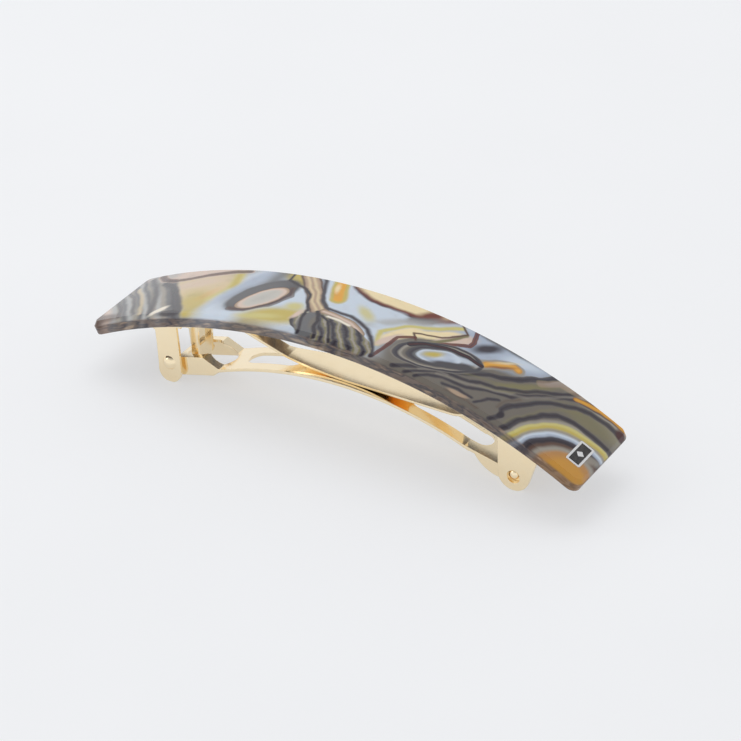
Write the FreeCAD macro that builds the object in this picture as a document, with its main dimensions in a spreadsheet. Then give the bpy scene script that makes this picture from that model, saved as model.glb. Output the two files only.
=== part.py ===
"""French-clip barrette: an arched acetate plate on a sprung metal clip.

Frame: +X runs along the plate towards the hinge, +Y across it, +Z up out of the plate's top face.
The origin is below the middle of the plate, on the surface that the clip stands on.
"""
import FreeCAD, Part
import math
import os
import Sketcher

# Driving dimensions, in millimetres and degrees.
SIZES = [
    ("plate_left", -49.9, "catch end of the plate, from the middle of the clip"),
    ("plate_right", 52.2, "hinge end of the plate, from the middle of the clip"),
    ("plate_width", 19.8, "width of the acetate plate"),
    ("plate_thick", 2.6, "thickness of the acetate plate"),
    ("plate_radius", 105.2, "radius of the plate's underside"),
    ("plate_apex", 19.8, "height of the plate's underside at mid length"),
    ("plate_corner", 2.0, "corner radius of the plate in plan"),
    ("plate_bevel", 0.8, "bevel round the plate's top face"),
    ("plate_ease", 0.3, "eased edge round the plate's underside"),
    ("plaque_long", 6.1, "silver plaque, across the plate"),
    ("plaque_short", 3.0, "silver plaque, along the plate"),
    ("plaque_thick", 0.6, "silver plaque thickness"),
    ("plaque_corner", 0.35, "silver plaque corner radius"),
    ("plaque_angle", 27.1, "where the plaque lies along the arch"),
    ("plaque_side", -3.5, "where the plaque lies across the plate"),
    ("plaque_rim", 0.42, "width of the plaque's raised border"),
    ("plaque_sink", 0.25, "depth of the plaque's sunken field"),
    ("base_gap", 0.05, "glue line between plate and base strip"),
    ("base_thick", 0.7, "base strip thickness"),
    ("base_width", 8.2, "base strip width"),
    ("base_left", -40.0, "catch end of the base strip"),
    ("base_right", 42.6, "hinge end of the base strip"),
    ("tongue_slot_left", -28.7, "catch-side end of the slot for the tension bar's tongue"),
    ("tongue_slot_right", -26.6, "hinge-side end of that slot"),
    ("tongue_slot_half", 1.8, "half width of that slot"),
    ("ear_left", 33.3, "catch-side edge of each hinge ear at its top"),
    ("ear_inner", 4.55, "inner face of each hinge ear from the middle"),
    ("ear_thick", 0.75, "hinge ear thickness"),
    ("ear_radius", 3.1, "rounding of the ear's foot about the pivot"),
    ("pivot_across", 37.1, "pivot position along the clip"),
    ("pivot_height", 3.1, "pivot height"),
    ("pivot_radius", 0.95, "hinge pin radius"),
    ("ear_hole_radius", 1.3, "hole in each ear, round the pin's domed end"),
    ("pin_bore_radius", 0.97, "hole in the arm's hinge skirts"),
    ("arm_radius", 70.0, "radius of the arm's underside"),
    ("arm_middle", 1.5, "where the arm's arch is highest"),
    ("arm_apex", 9.6, "height of the arm's underside at its highest"),
    ("arm_sheet", 0.55, "sheet thickness of the arm"),
    ("arm_width", 8.8, "arm width"),
    ("arch_left", -25.2, "catch end of the arm's arch"),
    ("arch_right", 27.6, "hinge end of the arm's arch"),
    ("slot_width", 4.0, "width of the long slots in the arm"),
    ("catch_slot_left", -21.0, "catch-side end of the slot near the catch"),
    ("catch_slot_right", -9.5, "hinge-side end of that slot"),
    ("hinge_slot_left", 14.0, "catch-side end of the slot near the hinge"),
    ("hinge_slot_right", 30.2, "hinge-side end of that slot"),
    ("skirt_radius", 1.85, "rounding of the hinge skirts about the pin"),
    ("catch_hole_half", 3.0, "half width of the catch hole"),
    ("catch_hole_left", -33.0, "square end of the catch hole"),
    ("catch_hole_middle", -26.6, "middle of the catch hole's round end"),
    ("catch_hole_round", 2.65, "radius of the round end of the catch hole"),
    ("catch_hole_neck", 2.05, "half width of the neck between the two"),
    ("bar_thick", 0.45, "tension bar thickness"),
    ("bar_width", 6.8, "tension bar width"),
    ("bar_neck", 3.0, "tension bar's narrow tongue"),
    ("bar_right", 26.6, "free end of the tension bar"),
    ("bar_full", 2.0, "where the bar reaches its full width"),
    ("bar_flat", -11.8, "where the bar's neck meets its flat blade"),
    ("catch_plate_thick", 0.6, "catch plate thickness"),
    ("catch_plate_width", 8.6, "catch plate width"),
    ("catch_plate_left", -39.2, "outer end of the catch plate"),
    ("catch_plate_right", -30.0, "inner end of the catch plate"),
    ("lever_thick", 0.55, "release lever sheet thickness"),
    ("root_outer", 5.4, "outer face of a lever's root from the middle"),
    ("root_right", -30.8, "inner end of a lever's root"),
    ("cheek_left", -38.4, "outer edge of a release cheek at its top"),
    ("cheek_width", 4.7, "width of a release cheek at its top"),
    ("cheek_foot", 2.45, "rounding of a release cheek's foot"),
    ("foot_across", -35.25, "middle of that rounding along the clip"),
    ("foot_height", 2.35, "middle of that rounding above the ground"),
    ("button_height", 3.9, "height of the finger button's middle"),
    ("prong_left", -32.3, "outer edge of a catch prong"),
    ("prong_width", 1.5, "width of a catch prong"),
    ("button_radius", 1.6, "ball radius of the domed finger button"),
    ("stud_radius", 0.85, "mounting stud shank radius"),
    ("stud_head", 1.6, "mounting stud head radius"),
    ("stud_depth", 1.4, "how far a stud goes into the plate"),
    ("rivet_radius", 0.7, "catch rivet shank radius"),
    ("rivet_head", 1.2, "catch rivet head radius"),
    ("head_thick", 0.35, "thickness of stud and rivet heads"),
]

# Places along the plate's arch, in degrees from its top.
STUD_ANGLES = (-8.0, 0.0, 8.0)
RIVET_ANGLES = (-20.6, -18.9)

# Top of the arm's raised catch platform: outer edge, crest and inner edge, as (x, z).
PLATFORM = [(-34.3, 4.95), (-28.7, 6.42), (-25.2, 4.95)]

# Working clearances.
HEAD_GAP = 0.06
BORE_GAP = 0.02
PLAQUE_PROUD = 0.06

doc = FreeCAD.newDocument("barrette")
sheet = doc.addObject("Spreadsheet::Sheet", "Sizes")
for row, (alias, value, meaning) in enumerate(SIZES, start=1):
    sheet.set(f"A{row}", meaning)
    sheet.set(f"B{row}", str(value))
    sheet.setAlias(f"B{row}", alias)
doc.recompute()
S = {alias: float(sheet.get(alias)) for alias, _, _ in SIZES}

# Radii of the layers under the plate, all about the same centre line.
CENTRE_Z = S["plate_apex"] - S["plate_radius"]
BASE_OUTER = S["plate_radius"] - S["base_gap"]
BASE_INNER = BASE_OUTER - S["base_thick"]
CATCH_INNER = BASE_INNER - S["catch_plate_thick"]
ARM_CENTRE_Z = S["arm_apex"] - S["arm_radius"]
ARM_TOP = S["arm_radius"] + S["arm_sheet"]
PLATE_MIDDLE = (S["plate_left"] + S["plate_right"]) / 2

parts = {}


def arc_z(x, radius, centre_x=0.0, centre_z=None):
    """Height of a long arc at x."""
    base = CENTRE_Z if centre_z is None else centre_z
    return base + math.sqrt(radius ** 2 - (x - centre_x) ** 2)


def arm_z(x, radius):
    """Height of one of the arm's arcs at x."""
    return arc_z(x, radius, S["arm_middle"], ARM_CENTRE_Z)


def line(a, b):
    return Part.LineSegment(FreeCAD.Vector(a[0], a[1], 0), FreeCAD.Vector(b[0], b[1], 0))


def arc(a, middle, b):
    points = [FreeCAD.Vector(p[0], p[1], 0) for p in (a, middle, b)]
    return Part.Arc(*points)


def outline(points):
    """Closed outline of straight runs through the points."""
    return [line(a, b) for a, b in zip(points, points[1:] + points[:1])]


def band(radius_out, radius_in, x_left, x_right, centre_x=0.0, centre_z=None):
    """Closed outline between two concentric arcs, with radial ends set at the inner arc."""
    base = CENTRE_Z if centre_z is None else centre_z
    angles = [math.asin((x - centre_x) / radius_in) for x in (x_left, x_right)]
    middle = sum(angles) / 2

    def at(radius, angle):
        return (centre_x + radius * math.sin(angle), base + radius * math.cos(angle))

    out = [at(radius_out, a) for a in (angles[0], middle, angles[1])]
    inn = [at(radius_in, a) for a in (angles[1], middle, angles[0])]
    return [arc(*out), line(out[2], inn[0]), arc(*inn), line(inn[2], out[0])]


def new_body(name):
    return doc.addObject("PartDesign::Body", name)


def sketch(body, name, role, edges, offset=None, bindings=()):
    """Sketch on one of the body's own origin planes; bindings are (kind, edge, expression)."""
    plane = next(f for f in body.Origin.OriginFeatures if f.Role == role)
    item = body.newObject("Sketcher::SketchObject", name)
    item.AttachmentSupport = [(plane, "")]
    item.MapMode = "FlatFace"
    if offset is not None:
        item.setExpression("AttachmentOffset.Base.z", offset)
    item.addGeometry(edges, False)
    if len(edges) > 1:
        for index in range(len(edges)):
            after = (index + 1) % len(edges)
            tip, tail = min(
                ((a, b) for a in (1, 2) for b in (1, 2)),
                key=lambda ends: item.getPoint(index, ends[0]).distanceToPoint(item.getPoint(after, ends[1])))
            item.addConstraint(Sketcher.Constraint("Coincident", index, tip, after, tail))
    for number, (kind, edge, expression) in enumerate(bindings):
        value = item.Geometry[edge].Radius
        place = item.addConstraint(Sketcher.Constraint(kind, edge, value))
        item.setExpression(f"Constraints[{place}]", expression)
    doc.recompute()
    return item


def pad(body, name, profile, length, midplane=False):
    feature = body.newObject("PartDesign::Pad", name)
    feature.Profile = profile
    feature.setExpression("Length", length)
    feature.SideType = "Symmetric" if midplane else "One side"
    doc.recompute()
    return feature


def cut(body, name, profile, length="Sizes.plate_right - Sizes.plate_left"):
    """Pocket half each side of its sketch, right through unless told; it must remove something."""
    before = body.Shape.Volume
    feature = body.newObject("PartDesign::Pocket", name)
    feature.Profile = profile
    feature.SideType = "Symmetric"
    feature.Type = "Length"
    feature.setExpression("Length", length)
    doc.recompute()
    if body.Shape.Volume > before - 1e-4:
        raise RuntimeError(f"{name} removes nothing")
    return feature


def fillet(body, name, base, edges, radius, kind="PartDesign::Fillet"):
    feature = body.newObject(kind, name)
    feature.Base = (base, edges)
    feature.setExpression("Size" if kind.endswith("Chamfer") else "Radius", radius)
    doc.recompute()
    return feature


def stadium(x_left, x_right, half):
    """Closed slot outline with round ends, along X."""
    low, high = x_left + half, x_right - half
    return [
        line((low, half), (high, half)),
        arc((high, half), (x_right, 0), (high, -half)),
        line((high, -half), (low, -half)),
        arc((low, -half), (x_left, 0), (low, half)),
    ]


def boolean(kind, name, base, tool):
    feature = doc.addObject(kind, name)
    feature.Base = base
    feature.Tool = tool
    doc.recompute()
    return feature


def fuse(name, shapes):
    feature = doc.addObject("Part::MultiFuse", name)
    feature.Shapes = shapes
    doc.recompute()
    return feature


def compound(name, links):
    feature = doc.addObject("Part::Compound", name)
    feature.Links = links
    doc.recompute()
    return feature


def keep(node, item):
    """Name a finished sub-part and move it so that the plate's middle is at the origin."""
    shift = FreeCAD.Placement(FreeCAD.Vector(-PLATE_MIDDLE, 0, 0), FreeCAD.Rotation())
    item.Placement = shift.multiply(item.Placement)
    item.Label = node
    parts[node] = item


def along_arch(angle, radius, y=0.0):
    """Placement on the arch at an angle, with local +Z pointing outwards."""
    turn = FreeCAD.Rotation(FreeCAD.Vector(0, 1, 0), angle)
    spot = FreeCAD.Vector(
        radius * math.sin(math.radians(angle)), y, CENTRE_Z + radius * math.cos(math.radians(angle)))
    return FreeCAD.Placement(spot, turn)


def cylinder(name, radius, height, placement):
    """Cylinder whose radius and height are bound to the sheet."""
    item = doc.addObject("Part::Cylinder", name)
    item.setExpression("Radius", radius)
    item.setExpression("Height", height)
    item.Placement = placement
    doc.recompute()
    return item


def box(name, length, width, height, placement):
    """Box centred on its placement in X and Y, with its sides bound to the sheet."""
    item = doc.addObject("Part::Box", name)
    item.setExpression("Length", length)
    item.setExpression("Width", width)
    item.setExpression("Height", height)
    doc.recompute()
    half = FreeCAD.Vector(-item.Length.Value / 2, -item.Width.Value / 2, 0)
    item.Placement = placement.multiply(FreeCAD.Placement(half, FreeCAD.Rotation()))
    doc.recompute()
    return item


def upright_edges(shape, direction):
    """Names of straight edges along a local direction."""
    names = []
    for index, edge in enumerate(shape.Edges, start=1):
        ends = [v.Point for v in edge.Vertexes]
        if len(ends) == 2 and edge.Curve.TypeId == "Part::GeomLine":
            run = (ends[1] - ends[0]).normalize()
            if abs(run.dot(direction)) > 0.99:
                names.append(f"Edge{index}")
    return names


def make_plate():
    """Arched sheet with round corners, a bevelled top and blind holes for what is fixed to it."""
    body = new_body("plate_body")
    inner = S["plate_radius"]
    outer = inner + S["plate_thick"]
    taper = inner / (outer - S["plate_bevel"])
    profile = sketch(
        body, "plate_profile", "XZ_Plane",
        band(outer, inner, S["plate_left"] * taper, S["plate_right"] * taper),
        bindings=[("Radius", 0, "Sizes.plate_radius + Sizes.plate_thick"),
                  ("Radius", 2, "Sizes.plate_radius")])
    solid = pad(body, "plate_sheet", profile, "Sizes.plate_width", midplane=True)
    corners = []
    for index, edge in enumerate(solid.Shape.Edges, start=1):
        ends = [v.Point for v in edge.Vertexes]
        if abs(edge.Length - S["plate_thick"]) < 0.01 and abs(ends[0].y - ends[1].y) < 0.01:
            corners.append(f"Edge{index}")
    rounded = fillet(body, "plate_corners", solid, corners, "Sizes.plate_corner")

    def perimeter(shape, radius):
        names = []
        for index, edge in enumerate(shape.Edges, start=1):
            middle = edge.valueAt((edge.FirstParameter + edge.LastParameter) / 2)
            ends = [v.Point for v in edge.Vertexes] + [middle]
            spans = [math.hypot(p.x, p.z - CENTRE_Z) for p in ends]
            if all(abs(span - radius) < 0.02 for span in spans):
                names.append(f"Edge{index}")
        return names

    bevelled = fillet(body, "plate_bevel_cut", rounded, perimeter(rounded.Shape, outer),
                      "Sizes.plate_bevel", "PartDesign::Chamfer")
    eased = fillet(body, "plate_underside_ease", bevelled, perimeter(bevelled.Shape, inner),
                   "Sizes.plate_ease")
    body.Tip = eased
    doc.recompute()
    tools = []
    for number, angle in enumerate(STUD_ANGLES, start=1):
        start = along_arch(angle, inner - 0.5)
        tools.append(cylinder(f"stud_hole_{number}", "Sizes.stud_radius",
                              "Sizes.stud_depth + 0.6", start))
    seat = along_arch(S["plaque_angle"], outer - S["plaque_thick"] + PLAQUE_PROUD, S["plaque_side"])
    tools.append(plaque_blank("plaque_seat", "Sizes.plaque_thick + 1", seat))
    keep("acetate_plate", boolean("Part::Cut", "plate_drilled", body, fuse("plate_tools", tools)))


def plaque_blank(name, height, placement):
    """Rectangle with round corners, standing on its placement."""
    block = box(name + "_block", "Sizes.plaque_short", "Sizes.plaque_long", height, placement)
    rounded = doc.addObject("Part::Fillet", name)
    rounded.Base = block
    up = placement.Rotation.multVec(FreeCAD.Vector(0, 0, 1))
    radius = S["plaque_corner"]
    numbers = [int(n[4:]) for n in upright_edges(block.Shape, up)]
    rounded.Edges = [(number, radius, radius) for number in numbers]
    doc.recompute()
    return rounded


def make_plaque():
    """Silver tablet with a raised border, a dark field and a plain diamond."""
    top = S["plate_radius"] + S["plate_thick"] + PLAQUE_PROUD
    floor = along_arch(S["plaque_angle"], top - S["plaque_thick"], S["plaque_side"])
    tablet = plaque_blank("plaque_tablet", "Sizes.plaque_thick", floor)
    field_height = top - S["plaque_sink"]
    field_place = along_arch(S["plaque_angle"], field_height, S["plaque_side"])
    field = box("plaque_field", "Sizes.plaque_short - 2 * Sizes.plaque_rim",
                "Sizes.plaque_long - 2 * Sizes.plaque_rim", "Sizes.plaque_sink + 1", field_place)
    lozenge_turn = FreeCAD.Placement(FreeCAD.Vector(), FreeCAD.Rotation(FreeCAD.Vector(0, 0, 1), 45))
    lozenge = box("plaque_lozenge", "Sizes.plaque_short * 0.36", "Sizes.plaque_short * 0.36",
                  "Sizes.plaque_sink", field_place.multiply(lozenge_turn))
    hollow = boolean("Part::Cut", "plaque_hollow", field, lozenge)
    keep("inlay_plaque", boolean("Part::Cut", "plaque_bordered", tablet, hollow))
    fill = box("enamel_block", "Sizes.plaque_short - 2 * Sizes.plaque_rim",
               "Sizes.plaque_long - 2 * Sizes.plaque_rim", "Sizes.plaque_sink * 0.7", field_place)
    lozenge_again = box("enamel_lozenge", "Sizes.plaque_short * 0.36", "Sizes.plaque_short * 0.36",
                        "Sizes.plaque_sink", field_place.multiply(lozenge_turn))
    keep("plaque_enamel", boolean("Part::Cut", "enamel_fill", fill, lozenge_again))


def make_base():
    """Curved strip under the plate, with the hinge ears bent down from its sides."""
    body = new_body("base_body")
    bands = [("Radius", 0, "Sizes.plate_radius - Sizes.base_gap"),
             ("Radius", 2, "Sizes.plate_radius - Sizes.base_gap - Sizes.base_thick")]
    strip = sketch(body, "base_profile", "XZ_Plane",
                   band(BASE_OUTER, BASE_INNER, S["base_left"], S["base_right"]), bindings=bands)
    pad(body, "base_sheet", strip, "Sizes.base_width", midplane=True)
    ear_left, ear_right = S["ear_left"], S["base_right"]
    yoke = sketch(body, "yoke_profile", "XZ_Plane",
                  band(BASE_OUTER, BASE_INNER, ear_left, ear_right), bindings=bands)
    pad(body, "base_yoke", yoke, "2 * (Sizes.ear_inner + Sizes.ear_thick)", midplane=True)
    px, pz, r = S["pivot_across"], S["pivot_height"], S["ear_radius"]
    lean_left, lean_right = math.radians(4.0), math.radians(20.0)
    left_foot = (px - r * math.cos(lean_left), pz - r * math.sin(lean_left))
    right_foot = (px + r * math.cos(lean_right), pz - r * math.sin(lean_right))
    top_left = (ear_left + 0.3, arc_z(ear_left, BASE_INNER) + 0.2)
    top_right = (ear_right - 0.1, arc_z(ear_right, BASE_INNER) + 0.2)
    ear = [line(top_left, left_foot), arc(left_foot, (px, pz - r), right_foot),
           line(right_foot, top_right), line(top_right, top_left)]
    near = sketch(body, "near_ear_profile", "XZ_Plane", ear,
                  offset="Sizes.ear_inner", bindings=[("Radius", 1, "Sizes.ear_radius")])
    pad(body, "near_ear", near, "Sizes.ear_thick")
    far = sketch(body, "far_ear_profile", "XZ_Plane", ear,
                 offset="-Sizes.ear_inner - Sizes.ear_thick",
                 bindings=[("Radius", 1, "Sizes.ear_radius")])
    pad(body, "far_ear", far, "Sizes.ear_thick")
    drop = S["ear_hole_radius"] - S["pivot_radius"] - 0.03
    hole = Part.Circle(FreeCAD.Vector(px, pz - drop, 0), FreeCAD.Vector(0, 0, 1), S["ear_hole_radius"])
    bore = sketch(body, "ear_hole_profile", "XZ_Plane", [hole],
                  bindings=[("Radius", 0, "Sizes.ear_hole_radius")])
    cut(body, "ear_holes", bore)
    slot_left, slot_right, half = S["tongue_slot_left"], S["tongue_slot_right"], S["tongue_slot_half"]
    tongue = sketch(body, "tongue_slot_profile", "XY_Plane", outline(
        [(slot_left, -half), (slot_right, -half), (slot_right, half), (slot_left, half)]))
    cut(body, "tongue_slot", tongue)
    tools = []
    for number, angle in enumerate(STUD_ANGLES, start=1):
        tools.append(cylinder(f"base_stud_hole_{number}", f"Sizes.stud_radius + {BORE_GAP}",
                              "Sizes.base_thick + 2", along_arch(angle, BASE_INNER - 1)))
    for number, angle in enumerate(RIVET_ANGLES, start=1):
        tools.append(cylinder(f"base_rivet_hole_{number}", f"Sizes.rivet_radius + {BORE_GAP}",
                              "Sizes.base_thick + 2", along_arch(angle, BASE_INNER - 1)))
    keep("base_strip", boolean("Part::Cut", "base_drilled", body, fuse("base_tools", tools)))


def make_studs():
    """Three studs: a flat head under the base strip and a shank in the plate's blind hole."""
    studs = []
    for number, angle in enumerate(STUD_ANGLES, start=1):
        head_place = along_arch(angle, BASE_INNER - S["head_thick"] - HEAD_GAP)
        head = cylinder(f"stud_head_{number}", "Sizes.stud_head", "Sizes.head_thick", head_place)
        shank_place = along_arch(angle, BASE_INNER - S["head_thick"])
        shank = cylinder(f"stud_shank_{number}", f"Sizes.stud_radius - {BORE_GAP}",
                         "Sizes.head_thick + Sizes.base_thick + Sizes.base_gap + Sizes.stud_depth",
                         shank_place)
        studs.append(fuse(f"stud_{number}", [head, shank]))
    keep("mounting_studs", compound("stud_group", studs))


def make_pin():
    """Hinge pin with a domed end in each ear."""
    body = new_body("pin_body")
    half = S["ear_inner"] + S["ear_thick"] * 0.5
    bulge = 0.6
    r = S["pivot_radius"]
    rise = half + bulge
    ball = (r ** 2 + bulge ** 2) / (2 * bulge)
    turn_half = math.asin(r / ball) / 2
    waist = (ball * math.sin(turn_half), rise - ball * (1 - math.cos(turn_half)))
    profile = [
        line((0, -rise), (0, rise)),
        arc((0, rise), waist, (r, half)),
        line((r, half), (r, -half)),
        arc((r, -half), (waist[0], -waist[1]), (0, -rise)),
    ]
    item = sketch(body, "pin_profile", "XY_Plane", profile)
    turn = body.newObject("PartDesign::Revolution", "pin_turned")
    turn.Profile = item
    turn.ReferenceAxis = (item, ["V_Axis"])
    turn.Angle = 360
    doc.recompute()
    body.Placement.Base = FreeCAD.Vector(S["pivot_across"], 0, S["pivot_height"])
    doc.recompute()
    keep("hinge_pin", body)


def make_arm():
    """Arched arm with a raised catch platform and skirts folded down at both ends."""
    body = new_body("arm_body")
    sheet_thick = S["arm_sheet"]
    arch_left, arch_right = S["arch_left"], S["arch_right"]
    arch = sketch(body, "arm_arch_profile", "XZ_Plane",
                  band(ARM_TOP, S["arm_radius"], arch_left, arch_right, S["arm_middle"], ARM_CENTRE_Z),
                  bindings=[("Radius", 0, "Sizes.arm_radius + Sizes.arm_sheet"),
                            ("Radius", 2, "Sizes.arm_radius")])
    pad(body, "arm_arch", arch, "Sizes.arm_width", midplane=True)
    upper = PLATFORM + [(arch_left + 1.2, arm_z(arch_left + 1.2, ARM_TOP) - 0.02)]
    lower = [(x, z - sheet_thick) for x, z in reversed(upper)]
    platform = sketch(body, "platform_profile", "XZ_Plane", outline(upper + lower))
    pad(body, "platform", platform, "Sizes.arm_width", midplane=True)
    ramp_start = arch_right - 1.0
    ramp_top = [(ramp_start, arm_z(ramp_start, ARM_TOP) - 0.02), (33.4, 3.95), (34.9, 3.15)]
    ramp_low = [(x - 0.2, z - sheet_thick) for x, z in reversed(ramp_top)]
    ramp = sketch(body, "hinge_web_profile", "XZ_Plane", outline(ramp_top + ramp_low))
    pad(body, "hinge_web", ramp, "Sizes.arm_width", midplane=True)
    catch_skirt = PLATFORM + [(-25.2, 4.3), (-26.3, 3.3), (-33.4, 1.35), (-34.3, 2.2)]
    px, pz, r = S["pivot_across"], S["pivot_height"], S["skirt_radius"]
    start, finish = math.radians(250), math.radians(100)
    foot = (px + r * math.cos(start), pz + r * math.sin(start))
    crown = (px + r * math.cos(finish), pz + r * math.sin(finish))
    skirt_start = arch_right - 0.6
    root_low = (skirt_start, arm_z(skirt_start, S["arm_radius"]) + 0.1)
    root_high = (skirt_start, arm_z(skirt_start, ARM_TOP) - 0.1)
    hinge_skirt = [
        line(root_high, (33.4, 3.9)),
        line((33.4, 3.9), (34.9, 3.7)),
        line((34.9, 3.7), crown),
        arc(crown, (px + r, pz), foot),
        line(foot, (33.4, 1.2)),
        arc((33.4, 1.2), (30.6, 2.45), (28.5, 4.9)),
        line((28.5, 4.9), root_low),
        line(root_low, root_high),
    ]
    for side, offset in (("near", "Sizes.arm_width / 2 - Sizes.arm_sheet"),
                         ("far", "-Sizes.arm_width / 2")):
        catch_side = sketch(body, f"{side}_catch_skirt_profile", "XZ_Plane",
                            outline(catch_skirt), offset=offset)
        pad(body, f"{side}_catch_skirt", catch_side, "Sizes.arm_sheet")
        hinge_side = sketch(body, f"{side}_hinge_skirt_profile", "XZ_Plane", hinge_skirt,
                            offset=offset, bindings=[("Radius", 3, "Sizes.skirt_radius")])
        pad(body, f"{side}_hinge_skirt", hinge_side, "Sizes.arm_sheet")
    bore = Part.Circle(FreeCAD.Vector(px, pz, 0), FreeCAD.Vector(0, 0, 1), S["pin_bore_radius"])
    pin_hole = sketch(body, "arm_bore_profile", "XZ_Plane", [bore],
                      bindings=[("Radius", 0, "Sizes.pin_bore_radius")])
    cut(body, "arm_bore", pin_hole)
    half = S["slot_width"] / 2
    for name in ("catch_slot", "hinge_slot"):
        slot = sketch(body, name + "_profile", "XY_Plane", stadium(S[name + "_left"], S[name + "_right"], half))
        cut(body, name, slot)
    wide = S["catch_hole_half"]
    round_radius = S["catch_hole_round"]
    round_middle = S["catch_hole_middle"]
    neck = S["catch_hole_neck"]
    swing = math.asin(neck / round_radius)
    neck_x = round_middle - round_radius * math.cos(swing)
    shoulder = neck_x - 0.9
    left = S["catch_hole_left"]
    hole = [
        line((left + 0.6, wide), (shoulder - 0.5, wide)),
        arc((shoulder - 0.5, wide), (shoulder + 0.25, wide - 0.3), (neck_x, neck)),
        arc((neck_x, neck), (round_middle + round_radius, 0), (neck_x, -neck)),
        arc((neck_x, -neck), (shoulder + 0.25, -wide + 0.3), (shoulder - 0.5, -wide)),
        line((shoulder - 0.5, -wide), (left + 0.6, -wide)),
        arc((left + 0.6, -wide), (left + 0.18, -wide + 0.18), (left, -wide + 0.6)),
        line((left, -wide + 0.6), (left, wide - 0.6)),
        arc((left, wide - 0.6), (left + 0.18, wide - 0.18), (left + 0.6, wide)),
    ]
    trefoil = sketch(body, "catch_hole_profile", "XY_Plane", hole,
                     bindings=[("Radius", 2, "Sizes.catch_hole_round")])
    cut(body, "catch_hole", trefoil)
    keep("clamp_arm", body)


def make_bar():
    """Sprung strip: tongue in the base strip's slot, sloping neck, flat blade with a round end."""
    side = new_body("bar_side_body")
    t = S["bar_thick"]
    top = S["arm_apex"] + S["arm_sheet"] + 0.05 + t
    end, flat = S["bar_right"], S["bar_flat"]
    upper = [(-28.0, 15.75), (-27.35, 15.75), (-27.35, 15.1), (flat - 1.4, top + 0.15), (flat, top), (end, top)]
    lower = [(end, top - t), (flat - 0.1, top - t), (flat - 1.6, top - t + 0.12), (-28.0, 14.75)]
    profile = sketch(side, "bar_profile", "XZ_Plane", outline(upper + lower))
    pad(side, "bar_sheet", profile, "Sizes.bar_width", midplane=True)
    plan = new_body("bar_plan_body")
    wide = S["bar_width"] / 2
    neck = S["bar_neck"] / 2
    start, taper, full = -28.5, -13.0, S["bar_full"]
    swell = ((taper + full) / 2 - 0.5, 2.75)
    shape = [
        line((start, neck), (taper, neck)),
        arc((taper, neck), swell, (full, wide)),
        line((full, wide), (end - wide, wide)),
        arc((end - wide, wide), (end, 0), (end - wide, -wide)),
        line((end - wide, -wide), (full, -wide)),
        arc((full, -wide), (swell[0], -swell[1]), (taper, -neck)),
        line((taper, -neck), (start, -neck)),
        line((start, -neck), (start, neck)),
    ]
    blade = sketch(plan, "bar_plan", "XY_Plane", shape)
    pad(plan, "bar_plan_block", blade, "Sizes.plate_apex")
    keep("tension_bar", boolean("Part::Common", "bar_shaped", side, plan))


def make_catch_plate():
    """Short plate riveted under the base strip; the release levers bend from its sides."""
    body = new_body("catch_plate_body")
    profile = sketch(body, "catch_plate_profile", "XZ_Plane",
                     band(BASE_INNER, CATCH_INNER, S["catch_plate_left"], S["catch_plate_right"]),
                     bindings=[("Radius", 0,
                                "Sizes.plate_radius - Sizes.base_gap - Sizes.base_thick")])
    pad(body, "catch_plate_sheet", profile, "Sizes.catch_plate_width", midplane=True)
    tools = [cylinder(f"catch_rivet_hole_{number}", f"Sizes.rivet_radius + {BORE_GAP}",
                      "Sizes.catch_plate_thick + 2", along_arch(angle, CATCH_INNER - 1))
             for number, angle in enumerate(RIVET_ANGLES, start=1)]
    keep("catch_plate", boolean("Part::Cut", "catch_plate_drilled", body,
                                fuse("catch_plate_tools", tools)))


def make_rivets():
    """Two rivets through the catch plate and the base strip."""
    rivets = []
    for number, angle in enumerate(RIVET_ANGLES, start=1):
        head_place = along_arch(angle, CATCH_INNER - S["head_thick"] - HEAD_GAP / 2)
        head = cylinder(f"rivet_head_{number}", "Sizes.rivet_head", "Sizes.head_thick", head_place)
        shank = cylinder(f"rivet_shank_{number}", "Sizes.rivet_radius - 0.01",
                         "Sizes.head_thick + Sizes.catch_plate_thick + Sizes.base_thick",
                         along_arch(angle, CATCH_INNER - S["head_thick"] + 0.02))
        rivets.append(fuse(f"rivet_{number}", [head, shank]))
    keep("catch_rivets", compound("rivet_group", rivets))


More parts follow.
